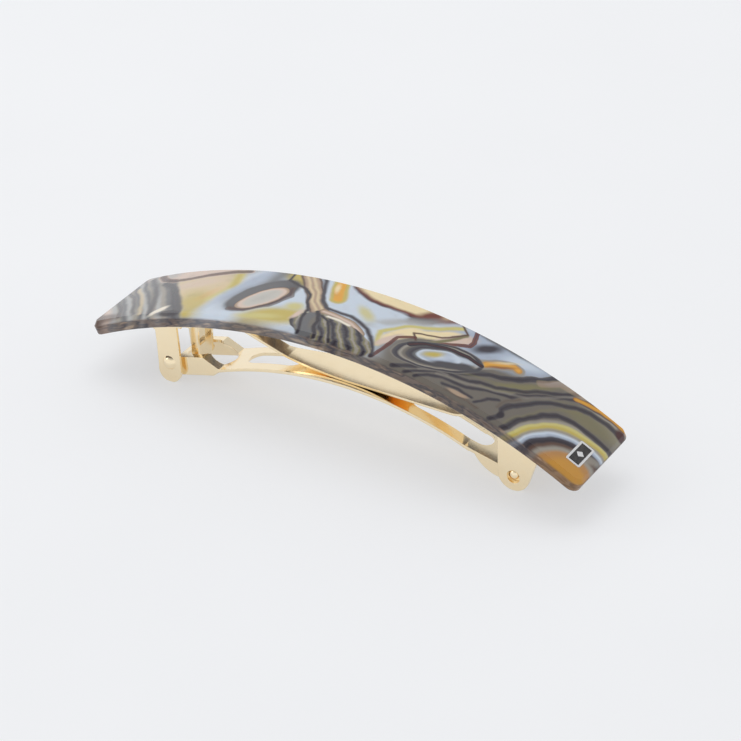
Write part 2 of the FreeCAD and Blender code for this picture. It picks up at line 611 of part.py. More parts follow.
def make_lever(node, side):
    """Release lever: root bar beside the catch plate, finger cheek outside, hooked prong inside."""
    body = new_body(node + "_body")
    cheek_right = S["cheek_left"] + S["cheek_width"]
    root = band(BASE_INNER - 0.05, CATCH_INNER - 0.85, S["cheek_left"] - 0.3, S["root_right"])
    start = "Sizes.catch_plate_width / 2" if side < 0 else "-Sizes.root_outer"
    root_sketch = sketch(body, "root_profile", "XZ_Plane", root, offset=start)
    pad(body, "root_bar", root_sketch, "Sizes.root_outer - Sizes.catch_plate_width / 2")
    t = S["lever_thick"]
    cheek = [(4.85, 12.9), (4.85, 7.0), (5.15, 0.0), (5.15 + t, 0.0), (4.85 + t, 7.0), (4.85 + t, 12.9)]
    cheek_sketch = sketch(body, "cheek_profile", "YZ_Plane",
                          outline([(side * y, z) for y, z in cheek]), offset="Sizes.cheek_left")
    pad(body, "cheek", cheek_sketch, "Sizes.cheek_width + 1")
    roof_left, roof_right = S["cheek_left"] - 1.0, cheek_right + 1.01
    roof = [(roof_left, arc_z(roof_left, BASE_INNER - 0.05)),
            (roof_right, arc_z(roof_right, BASE_INNER - 0.05)), (roof_right, 16.0), (roof_left, 16.0)]
    roof_sketch = sketch(body, "cheek_roof_profile", "XZ_Plane", outline(roof))
    cut(body, "cheek_roof", roof_sketch)
    foot_x, foot_z, r = S["foot_across"], S["foot_height"], S["cheek_foot"]
    for name, hand, edge, top in (("left", -1, S["cheek_left"], 10.15), ("right", 1, cheek_right, 11.9)):
        shoulder = (foot_x + hand * r * math.cos(math.radians(7)), foot_z + r * math.sin(math.radians(7)))
        slope = (foot_x + hand * r * math.cos(math.radians(40)), foot_z - r * math.sin(math.radians(40)))
        flat = (foot_x + hand * math.sqrt(r ** 2 - foot_z ** 2), 0.0)
        waste = [line((edge, top), shoulder), arc(shoulder, slope, flat),
                 line(flat, (flat[0], -2.0)), line((flat[0], -2.0), (foot_x + hand * 6, -2.0)),
                 line((foot_x + hand * 6, -2.0), (foot_x + hand * 6, top)),
                 line((foot_x + hand * 6, top), (edge, top))]
        trim = sketch(body, f"cheek_{name}_profile", "XZ_Plane", waste)
        cut(body, f"cheek_{name}_trim", trim)
    prong = [(4.9, 12.9), (2.0, 12.9), (2.0, 3.9), (2.35, 3.9), (2.95, 4.35), (2.95, 4.72),
             (2.0 + t, 4.72), (2.0 + t, 12.3), (4.9, 12.3)]
    prong_sketch = sketch(body, "prong_profile", "YZ_Plane",
                          outline([(side * y, z) for y, z in prong]), offset="Sizes.prong_left")
    pad(body, "prong", prong_sketch, "Sizes.prong_width")
    ball = body.newObject("PartDesign::AdditiveSphere", "finger_button")
    ball.setExpression("Radius", "Sizes.button_radius")
    doc.recompute()
    body.Tip = ball
    ball.Placement = FreeCAD.Placement(
        FreeCAD.Vector(foot_x - 0.1, side * (4.93 + t - 0.75), S["button_height"]), FreeCAD.Rotation())
    doc.recompute()
    inside = [(3.0, 7.0), (4.85, 7.0), (5.12, 0.7), (3.0, 0.7)]
    trim = sketch(body, "button_trim_profile", "YZ_Plane",
                  outline([(side * y, z) for y, z in inside]), offset="Sizes.foot_across")
    cut(body, "button_trim", trim, "3 * Sizes.button_radius")
    keep(node, body)


make_plate()
make_plaque()
make_base()
make_studs()
make_pin()
make_arm()
make_bar()
make_catch_plate()
make_rivets()
make_lever("near_release_lever", -1)
make_lever("far_release_lever", 1)

doc.recompute()
for item in doc.Objects:
    if "Invalid" in item.State or "Error" in item.State:
        raise RuntimeError(f"{item.Name} failed: {item.State}")
os.makedirs("parts", exist_ok=True)
for node, item in parts.items():
    shape = item.Shape
    if shape.isNull() or not shape.isValid():
        raise RuntimeError(f"{node} has no valid shape")
    shape.exportStep(f"parts/{node}.step")
    bounds = shape.optimalBoundingBox(False)
    print(f"{node}: {len(shape.Solids)} solids, {shape.Volume:.2f} mm3, "
          f"x {bounds.XMin:.2f}..{bounds.XMax:.2f}, y {bounds.YMin:.2f}..{bounds.YMax:.2f}, "
          f"z {bounds.ZMin:.2f}..{bounds.ZMax:.2f}")
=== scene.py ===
"""Looks of the barrette: marbled acetate plate, silver plaque and polished gold clip on a pale floor."""

import math

import bpy
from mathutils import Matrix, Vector


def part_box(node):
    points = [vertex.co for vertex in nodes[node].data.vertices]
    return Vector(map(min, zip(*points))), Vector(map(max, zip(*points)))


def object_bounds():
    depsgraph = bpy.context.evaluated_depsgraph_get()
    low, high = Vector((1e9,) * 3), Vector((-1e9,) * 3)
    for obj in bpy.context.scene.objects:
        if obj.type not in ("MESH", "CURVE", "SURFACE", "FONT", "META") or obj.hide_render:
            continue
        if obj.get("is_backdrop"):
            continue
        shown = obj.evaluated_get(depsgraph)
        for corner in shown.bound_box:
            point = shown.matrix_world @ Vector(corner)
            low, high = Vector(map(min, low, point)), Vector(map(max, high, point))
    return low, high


MM = 0.001


def plain(bounds):
    """Bounds as nested plain lists."""
    if isinstance(bounds, dict):
        return {key: plain(value) for key, value in bounds.items()}
    if hasattr(bounds, "__len__") and not isinstance(bounds, str):
        return [plain(value) for value in bounds]
    return bounds


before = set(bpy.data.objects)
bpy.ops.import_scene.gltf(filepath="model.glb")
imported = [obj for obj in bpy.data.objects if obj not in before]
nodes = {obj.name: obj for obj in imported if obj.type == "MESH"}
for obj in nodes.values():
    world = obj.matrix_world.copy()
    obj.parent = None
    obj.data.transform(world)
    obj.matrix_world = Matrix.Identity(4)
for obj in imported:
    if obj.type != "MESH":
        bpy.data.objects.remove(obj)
size_before = plain(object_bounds())

PLATE_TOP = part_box("acetate_plate")[1].z / MM
PLATE_TOP_RADIUS = 107.8
PLATE_ARCH_X = -1.15
LAYER_SLANT = (0.9, 0.8)       # mm that the pattern leans along and across for each mm of depth
SIDE_SHADE_DEPTH = (0.5, 0.9)        # mm below the top where the side streaks and their painted side shade begin and are full

CAMERA_AZIMUTH = 30.46         # degrees
CAMERA_ELEVATION = 31.86       # degrees
CAMERA_DISTANCE = 558.75       # mm
CAMERA_TARGET = (3.64, 0.0, 11.86)   # mm
CAMERA_LENS = 150.4            # mm, on a 36 mm sensor
SENSOR_WIDTH = 36.0            # mm

FLOOR_HALF_SIZE = 1.6          # m
FLOOR_GLOW = 1.15
HORIZON = (0.86, 0.865, 0.875, 1.0)
CEILING = (0.36, 0.365, 0.375, 1.0)
WORLD_STRENGTH = 1.06
MAX_BOUNCES = 24
GLOSSY_BOUNCES = 8


# ---------------------------------------------------------------- shader maths

class Graph:
    """Builds node trees from ordinary arithmetic on sockets and numbers."""

    def __init__(self, name):
        self.material = bpy.data.materials.new(name)
        self.material.use_nodes = True
        self.tree = self.material.node_tree
        self.tree.nodes.clear()
        self.output = self.node("ShaderNodeOutputMaterial")
        self.shader = self.node("ShaderNodeBsdfPrincipled")
        self.link(self.shader.outputs[0], self.output.inputs["Surface"])

    def node(self, kind, **settings):
        item = self.tree.nodes.new(kind)
        for key, value in settings.items():
            setattr(item, key, value)
        return item

    def link(self, source, target):
        self.tree.links.new(source, target)

    def feed(self, socket, value):
        """Put a number, colour or another node's output into a socket."""
        if isinstance(value, Field):
            self.link(value.socket, socket)
        elif isinstance(value, bpy.types.NodeSocket):
            self.link(value, socket)
        else:
            socket.default_value = value

    def maths(self, operation, *values):
        item = self.node("ShaderNodeMath", operation=operation)
        for socket, value in zip(item.inputs, values):
            self.feed(socket, value)
        return Field(self, item.outputs[0])

    def position(self):
        """Object position as three fields, in millimetres."""
        coords = self.node("ShaderNodeTexCoord")
        split = self.node("ShaderNodeSeparateXYZ")
        self.link(coords.outputs["Object"], split.inputs[0])
        return [Field(self, split.outputs[i]) / MM for i in range(3)]

    def vector(self, x, y, z=0.0):
        item = self.node("ShaderNodeCombineXYZ")
        for socket, value in zip(item.inputs, (x, y, z)):
            self.feed(socket, value)
        return item.outputs[0]

    def noise(self, vector, scale, detail=2.0, roughness=0.5):
        """Fractal noise about zero, roughly -1 to 1."""
        item = self.node("ShaderNodeTexNoise")
        self.feed(item.inputs["Vector"], vector)
        self.feed(item.inputs["Scale"], scale)
        self.feed(item.inputs["Detail"], detail)
        self.feed(item.inputs["Roughness"], roughness)
        return (Field(self, item.outputs[0]) - 0.5) * 2.6

    def smooth(self, value, low, high):
        """0 at low, 1 at high, with eased ends; low may be above high."""
        item = self.node("ShaderNodeMapRange", interpolation_type="SMOOTHSTEP")
        self.feed(item.inputs["Value"], value)
        flip = low > high
        self.feed(item.inputs["From Min"], high if flip else low)
        self.feed(item.inputs["From Max"], low if flip else high)
        self.feed(item.inputs["To Min"], 1.0 if flip else 0.0)
        self.feed(item.inputs["To Max"], 0.0 if flip else 1.0)
        return Field(self, item.outputs["Result"])

    def ramp(self, value, low, high, stops):
        """Colour by value; stops are (value, colour)."""
        item = self.node("ShaderNodeValToRGB")
        elements = item.color_ramp.elements
        item.color_ramp.interpolation = "EASE"
        span = high - low
        for index, (place, tint) in enumerate(stops):
            at = min(max((place - low) / span, 0.0), 1.0)
            element = elements[index] if index < 2 else elements.new(at)
            element.position = at
            element.color = (*tint, 1.0)
        scaled = (value - low) / span
        self.link(scaled.socket, item.inputs[0])
        return item.outputs[0]

    def mix(self, under, over, mask):
        """Colour going from under to over as the mask goes from 0 to 1."""
        item = self.node("ShaderNodeMix", data_type="RGBA")
        self.feed(item.inputs[0], mask)
        for socket, tint in ((item.inputs[6], under), (item.inputs[7], over)):
            if isinstance(tint, tuple):
                socket.default_value = (*tint, 1.0)
            else:
                self.link(tint, socket)
        return item.outputs[2]


class Field:
    """A number that varies over the surface."""

    def __init__(self, graph, socket):
        self.graph = graph
        self.socket = socket

    def __add__(self, other):
        return self.graph.maths("ADD", self, other)

    def __sub__(self, other):
        return self.graph.maths("SUBTRACT", self, other)

    def __rsub__(self, other):
        return self.graph.maths("SUBTRACT", other, self)

    def __mul__(self, other):
        return self.graph.maths("MULTIPLY", self, other)

    def __truediv__(self, other):
        return self.graph.maths("DIVIDE", self, other)

    def __pow__(self, other):
        return self.graph.maths("POWER", self, other)

    def root(self):
        return self.graph.maths("SQRT", self)


def colour(red, green, blue):
    """Linear colour from 0 to 255 display values."""
    def linear(value):
        share = value / 255.0
        return share / 12.92 if share <= 0.04045 else ((share + 0.055) / 1.055) ** 2.4
    return (linear(red), linear(green), linear(blue))


# ---------------------------------------------------------------- acetate

INK = colour(44, 38, 46)
NIGHT = colour(60, 56, 64)
DARK = colour(74, 72, 76)
SLATE = colour(98, 98, 100)
TAUPE = colour(108, 102, 94)
STONE = colour(148, 142, 132)
SMOKE = colour(166, 166, 164)
BLUE = colour(164, 174, 190)
SKY = colour(192, 202, 214)
OLIVE = colour(186, 168, 88)
GREEN = colour(194, 184, 116)
MOSS = colour(122, 116, 84)
SAND = colour(204, 184, 148)
TAN = colour(168, 144, 122)
CREAM = colour(228, 210, 168)
PEARL = colour(230, 222, 206)
BLUSH = colour(206, 184, 170)
AMBER = colour(216, 156, 52)
HONEY = colour(190, 138, 56)
RUST = colour(108, 52, 42)
WINE = colour(70, 36, 38)
BROWN = colour(88, 66, 56)


def make_run_group():
    """Distance from a point to a straight run given by its two axes and half length."""
    group = bpy.data.node_groups.new("run_distance", "ShaderNodeTree")
    for name in ("Point", "Along", "Across", "Half"):
        group.interface.new_socket(name, in_out="INPUT", socket_type="NodeSocketVector")
    group.interface.new_socket("Distance", in_out="OUTPUT", socket_type="NodeSocketFloat")
    start = group.nodes.new("NodeGroupInput")
    shares = []
    for name in ("Along", "Across"):
        share = group.nodes.new("ShaderNodeVectorMath")
        share.operation = "DOT_PRODUCT"
        group.links.new(start.outputs["Point"], share.inputs[0])
        group.links.new(start.outputs[name], share.inputs[1])
        shares.append(share)
    pair = group.nodes.new("ShaderNodeCombineXYZ")
    for index, share in enumerate(shares):
        group.links.new(share.outputs["Value"], pair.inputs[index])
    last = pair.outputs[0]
    for operation in ("ABSOLUTE", "SUBTRACT", "MAXIMUM", "LENGTH"):
        step = group.nodes.new("ShaderNodeVectorMath")
        step.operation = operation
        group.links.new(last, step.inputs[0])
        if operation == "SUBTRACT":
            group.links.new(start.outputs["Half"], step.inputs[1])
        last = step.outputs["Value"] if operation == "LENGTH" else step.outputs[0]
    finish = group.nodes.new("NodeGroupOutput")
    group.links.new(last, finish.inputs[0])
    return group


def axis(place, angle, length):
    """Weights of (x, y, 1) giving the scaled distance from a place along a direction."""
    turn = math.radians(angle)
    east, north = math.cos(turn) / length, math.sin(turn) / length
    return (east, north, -place[0] * east - place[1] * north)


class Marble:
    """Pattern of the acetate, painted feature by feature in plate coordinates (x along, y across)."""

    def __init__(self, graph):
        self.g = graph
        self.run_group = make_run_group()
        x, y, z = graph.position()
        offset = x - PLATE_ARCH_X
        centre_z = PLATE_TOP - PLATE_TOP_RADIUS
        self.depth = PLATE_TOP_RADIUS - (offset * offset + (z - centre_z) ** 2.0).root()
        slant_x = x + self.depth * LAYER_SLANT[0]
        slant_y = y - self.depth * LAYER_SLANT[1]
        flat = graph.vector(slant_x, slant_y, self.depth)
        drift = [graph.noise(graph.vector(slant_x + shift, slant_y, self.depth), 0.13, 2.0)
                 for shift in (0.0, 40.0)]
        quiver = [graph.noise(graph.vector(slant_x + shift, slant_y, self.depth), 0.6, 2.0)
                  for shift in (13.0, 71.0)]
        self.point = graph.vector(slant_x + drift[0] * 0.7 + quiver[0] * 0.09,
                                  slant_y + drift[1] * 0.55 + quiver[1] * 0.09, 1.0)
        self.grain = graph.noise(flat, 0.35, 4.0)
        # Layer noise for the side faces; its mostly dark ramp in make_acetate also paints shade on those
        # faces
        layers = graph.vector(slant_x * 0.2 + slant_y * 0.2, self.depth * 0.8, drift[0] * 0.5)
        self.side_streak_and_shade = graph.noise(layers, 1.0, 3.0)
        self.paint = None

    def measure(self, weights):
        """Distance given by axis weights, as a field."""
        item = self.g.node("ShaderNodeVectorMath", operation="DOT_PRODUCT")
        self.g.link(self.point, item.inputs[0])
        item.inputs[1].default_value = weights
        return Field(self.g, item.outputs["Value"])

    def side(self, place, angle):
        """Distance to the left of a direction."""
        return self.measure(axis(place, angle + 90.0, 1.0))

    def oval(self, place, half_long, half_short, angle):
        """1 on an ellipse's edge, 0 at its centre."""
        pair = self.g.vector(self.measure(axis(place, angle, half_long)),
                             self.measure(axis(place, angle + 90.0, half_short)))
        item = self.g.node("ShaderNodeVectorMath", operation="LENGTH")
        self.g.link(pair, item.inputs[0])
        return Field(self.g, item.outputs["Value"])

    def cover(self, tint, mask, strength=1.0):
        """Lay a tint over what is painted so far."""
        if strength != 1.0:
            mask = mask * strength
        self.paint = tint if self.paint is None else self.g.mix(self.paint, tint, mask)

    def patch(self, tint, place, half_long, half_short, angle, soft=0.35, strength=1.0):
        """Soft-edged oval patch of one tint."""
        shape = self.oval(place, half_long, half_short, angle)
        self.cover(tint, self.g.smooth(shape, 1.0 + soft, 1.0 - soft), strength)

    def lens(self, place, half_long, half_short, angle, stops, reach):
        """Nested rings about an oval; stops are (share of the oval, tint)."""
        shape = self.oval(place, half_long, half_short, angle)
        rings = self.g.ramp(shape, 0.0, reach, stops)
        self.cover(rings, self.g.smooth(shape, reach, reach * 0.93))

    def reach(self, points):
        """Distance to the nearest of the straight runs through the points."""
        nearest = None
        for (ax, ay), (bx, by) in zip(points, points[1:]):
            item = self.g.node("ShaderNodeGroup", node_tree=self.run_group)
            self.g.link(self.point, item.inputs["Point"])
            middle = ((ax + bx) / 2, (ay + by) / 2)
            turn = math.degrees(math.atan2(by - ay, bx - ax))
            item.inputs["Along"].default_value = axis(middle, turn, 1.0)
            item.inputs["Across"].default_value = axis(middle, turn + 90.0, 1.0)
            item.inputs["Half"].default_value = (math.hypot(bx - ax, by - ay) / 2, 0.0, 0.0)
            found = Field(self.g, item.outputs[0])
            nearest = found if nearest is None else self.g.maths("MINIMUM", nearest, found)
        return nearest

    def seam(self, tint, points, width, soft=0.3, strength=1.0):
        """Line of one tint through the points."""
        mask = self.g.smooth(self.reach(points), width / 2 + soft, width / 2 - soft * 0.6)
        self.cover(tint, mask, strength)

    def ribbon(self, points, stops, strength=1.0):
        """Line whose tint changes from its middle outwards; stops are (distance, tint), fading out last."""
        distance = self.reach(points)
        width = stops[-1][0]
        tints = self.g.ramp(distance, 0.0, width, stops)
        self.cover(tints, self.g.smooth(distance, width, width * 0.72), strength)


def paint_left(m):
    """Smoky bands and the sand-coloured field of the catch end."""
    m.patch(SAND, (-34.0, 0.5), 9.0, 8.0, -35.0, 0.3)
    m.patch(OLIVE, (-31.0, -4.6), 5.0, 3.0, -52.0, 0.6, 0.8)
    m.patch(BLUSH, (-35.5, 3.4), 5.0, 2.0, 20.0, 0.6, 0.6)
    m.seam(GREEN, [(-29.4, 9.0), (-27.8, 6.0), (-26.8, 1.0), (-28.6, -2.6)], 1.7, 1.1)
    m.seam(OLIVE, [(-28.4, 7.4), (-27.0, 2.4)], 1.0, 0.8)
    m.patch(AMBER, (-30.2, -1.0), 2.6, 1.0, 70.0, 0.9, 0.25)
    m.patch(OLIVE, (-28.0, -8.8), 4.4, 1.2, 2.0, 0.5)
    band_side = m.side((-38.6, -0.4), -54.0)
    bands = m.g.ramp(band_side, -14.0, 1.6, [
        (-14.0, BROWN), (-12.4, BLUSH), (-11.2, SMOKE), (-10.2, STONE), (-9.2, SLATE), (-8.3, SMOKE),
        (-7.4, STONE), (-6.4, SLATE), (-5.5, SMOKE), (-4.6, SLATE), (-3.8, STONE), (-2.9, SMOKE),
        (-1.9, STONE), (-1.0, SLATE), (-0.2, DARK), (0.8, SLATE), (1.6, SMOKE)])
    m.cover(bands, m.g.smooth(band_side, 1.7, 0.5))
    m.patch(BLUSH, (-39.0, 10.4), 11.5, 4.6, 2.0, 0.2)
    m.patch(SMOKE, (-47.0, 9.8), 4.5, 3.0, -35.0, 0.4, 0.8)
    m.ribbon([(-47.0, 8.6), (-44.6, 6.3), (-41.7, 5.2), (-38.5, 5.8), (-34.9, 7.0), (-31.0, 7.9),
              (-27.0, 8.4)],
             [(0.0, WINE), (0.35, BROWN), (1.0, BLUSH)], 0.85)
    m.seam(DARK, [(-43.5, 4.5), (-40.6, 2.4), (-37.4, -1.0), (-34.2, -5.0), (-32.0, -9.0)], 1.1, 0.6, 0.9)
    m.seam(DARK, [(-48.5, 7.8), (-45.6, 4.5), (-43.5, 1.0), (-41.0, -3.3), (-38.0, -9.0)], 1.0, 0.7, 0.9)
    m.seam(DARK, [(-51.0, 3.1), (-48.1, 0.3), (-45.6, -3.3), (-42.0, -9.0)], 0.6, 0.5, 0.8)
    m.seam(SAND, [(-49.0, 4.0), (-46.4, 0.6), (-43.8, -3.4), (-40.6, -9.0)], 0.5, 0.5, 0.8)
    m.seam(DARK, [(-51.0, -0.8), (-48.1, -4.4), (-44.9, -9.0)], 0.7, 0.5, 0.9)
    m.patch(INK, (-33.8, -9.0), 2.2, 1.0, 0.0, 0.4, 0.9)
    m.patch(PEARL, (-36.6, -7.9), 2.0, 0.8, 62.0, 0.4)
    m.patch(BROWN, (-48.6, -8.6), 3.6, 1.6, -10.0, 0.5, 0.8)


def paint_lens(m):
    """Dark-ringed lens in a pale-blue surround."""
    m.patch(SKY, (-20.0, -0.6), 12.5, 6.6, 62.0, 0.22)
    m.patch(BLUE, (-24.4, 3.0), 8.0, 1.8, 72.0, 0.5)
    m.patch(OLIVE, (-12.6, -6.2), 6.6, 3.1, 18.0, 0.5)
    m.patch(GREEN, (-15.6, -7.4), 3.6, 1.0, 12.0, 0.7)
    m.patch(GREEN, (-11.3, -1.8), 1.7, 1.3, 0.0, 0.6, 0.9)
    m.patch(OLIVE, (-16.4, 8.0), 4.5, 2.0, -30.0, 0.4)
    m.seam(SLATE, [(-20.4, 4.4), (-20.2, 10.4)], 2.4, 1.9, 0.85)
    m.patch(DARK, (-19.1, 0.0), 7.7, 4.4, 58.0, 0.1)
    m.patch(SLATE, (-20.7, 0.6), 6.6, 3.1, 60.0, 0.5, 0.7)
    m.ribbon([(-22.6, -6.2), (-19.6, -5.9), (-16.0, -3.0), (-14.0, 1.2), (-14.9, 3.9)],
             [(0.0, WINE), (0.4, BROWN), (0.9, DARK)], 0.7)
    m.lens((-18.5, -1.0), 5.4, 2.6, 56.0, [
        (0.0, colour(176, 174, 168)), (0.6, colour(186, 182, 174)), (0.85, BLUSH), (0.96, TAN),
        (1.05, WINE)], 1.06)


def paint_channel(m):
    """Tan channel between two dark lines, and the ribbed cluster it runs into."""
    m.ribbon([(-14.8, 9.9), (-12.6, 7.0), (-10.2, 4.0), (-8.4, 1.0), (-6.2, -1.6)],
             [(0.0, TAN), (0.5, SAND), (1.1, TAN), (1.6, BROWN), (2.1, NIGHT)])
    m.ribbon([(-5.4, -1.6), (-2.0, -2.0), (1.6, -2.6), (4.4, -4.6)],
             [(0.0, BLUSH), (0.5, TAN), (1.0, BROWN)])
    left = [(-18.0, 9.9), (-17.6, 6.7), (-14.9, 5.6), (-12.4, 4.7), (-10.7, 2.8), (-9.6, 0.3), (-8.1, -2.4)]
    right = [(-11.6, 9.9), (-9.4, 6.3), (-8.3, 3.8), (-7.1, 1.7), (-5.6, -0.2), (-3.0, -0.5), (0.0, -0.6),
             (2.1, -1.2), (4.6, -2.6), (6.4, -4.4), (7.9, -6.5), (9.6, -9.5)]
    m.seam(INK, left, 0.5, 0.35)
    m.seam(NIGHT, right, 0.7, 0.45)
    m.ribbon([(-7.8, 9.2), (-6.2, 6.0), (-5.0, 3.4)], [(0.0, AMBER), (0.5, AMBER), (1.1, OLIVE), (2.0, SKY)])
    m.patch(CREAM, (-7.2, 7.0), 1.6, 0.4, -62.0, 0.8, 0.9)
    m.patch(GREEN, (1.6, 1.8), 2.6, 1.1, -40.0, 0.7, 0.8)


def paint_ribs(m):
    """Dark ribbed cluster at the near edge."""
    ribs = m.g.maths("SINE", (m.side((0.0, -6.0), -54.0) + m.grain * 0.8) * 2.7)
    ribbed = m.g.ramp(ribs, -1.0, 1.0, [
        (-1.0, INK), (-0.85, NIGHT), (-0.5, DARK), (0.0, TAUPE), (0.5, MOSS), (1.0, STONE)])
    cluster = m.oval((-0.4, -7.2), 9.6, 4.3, -14.0)
    m.cover(ribbed, m.g.smooth(cluster, 1.03, 0.97))
    m.patch(SLATE, (-5.6, -6.6), 4.4, 2.0, -70.0, 0.15)
    m.patch(TAUPE, (-5.0, -5.6), 2.2, 0.6, -70.0, 0.5)
    m.seam(INK, [(-8.4, -2.4), (-7.7, -5.0), (-6.8, -7.2), (-5.6, -9.9)], 0.5, 0.3)
    m.seam(INK, [(-6.4, -2.0), (-4.4, -5.0), (-4.0, -7.0), (-2.4, -9.9)], 0.6, 0.3)
    m.seam(INK, [(-4.8, -3.2), (-2.6, -4.4), (-1.0, -7.0), (0.8, -9.9)], 0.5, 0.3)
    m.seam(PEARL, [(-3.6, -2.9), (-1.2, -3.0), (1.4, -3.3)], 0.5, 0.35)
    m.patch(BLUSH, (-9.3, -4.2), 1.9, 0.6, 80.0, 0.6)


def paint_middle(m):
    """Cream lens at the far edge, pale diagonal and the angular cream wedge."""
    m.patch(WINE, (6.6, 10.8), 12.6, 5.6, 0.0, 0.05)
    m.patch(RUST, (6.2, 11.2), 11.9, 5.4, 0.0, 0.07)
    m.patch(CREAM, (5.0, 11.4), 10.6, 4.9, -2.0, 0.1)
    m.patch(RUST, (11.8, 7.6), 2.6, 1.6, 50.0, 0.5)
    m.seam(RUST, [(14.0, 6.8), (17.0, 8.6)], 0.8, 0.6)
    m.patch(NIGHT, (10.8, 5.4), 3.0, 1.0, 34.0, 0.6)
    m.patch(SMOKE, (8.6, 2.8), 7.6, 1.4, 38.0, 0.7, 0.8)
    m.seam(SKY, [(0.4, 2.6), (4.4, 4.4), (7.8, 4.6)], 1.4, 1.0, 0.8)
    m.seam(SKY, [(2.8, -0.2), (7.0, -0.4), (9.4, 2.0)], 1.0, 0.8, 0.8)
    m.seam(SKY, [(14.0, 6.0), (17.6, 8.8)], 1.0, 0.7, 0.8)
    m.seam(GREEN, [(8.4, -5.6), (6.9, -2.0), (9.6, 1.8), (14.0, 5.0), (18.0, 8.0)], 0.9, 0.5)
    m.patch(CREAM, (10.6, -0.4), 4.2, 1.5, 54.0, 0.25)
    m.patch(BLUSH, (9.4, -3.4), 3.0, 0.9, 62.0, 0.4)
    m.patch(CREAM, (15.4, 3.4), 4.6, 1.3, 40.0, 0.3)
    m.patch(BLUSH, (18.8, 4.4), 3.8, 1.4, 44.0, 0.3)
    m.seam(MOSS, [(19.6, 6.6), (17.6, 3.6), (15.0, -0.4)], 0.7, 0.3)
    m.seam(BROWN, [(17.0, 9.6), (19.6, 7.0), (16.4, 3.4), (12.0, 1.2), (13.6, -0.6)], 0.35, 0.25)
    m.ribbon([(20.2, 9.8), (21.6, 6.0), (21.4, 4.6), (17.8, 2.2), (15.6, 0.0)],
             [(0.0, WINE), (0.25, RUST), (0.55, NIGHT)], 0.9)
    m.ribbon([(12.8, 0.2), (10.6, -1.8), (10.2, -5.2), (9.6, -9.5)],
             [(0.0, WINE), (0.25, RUST), (0.5, INK)], 0.9)


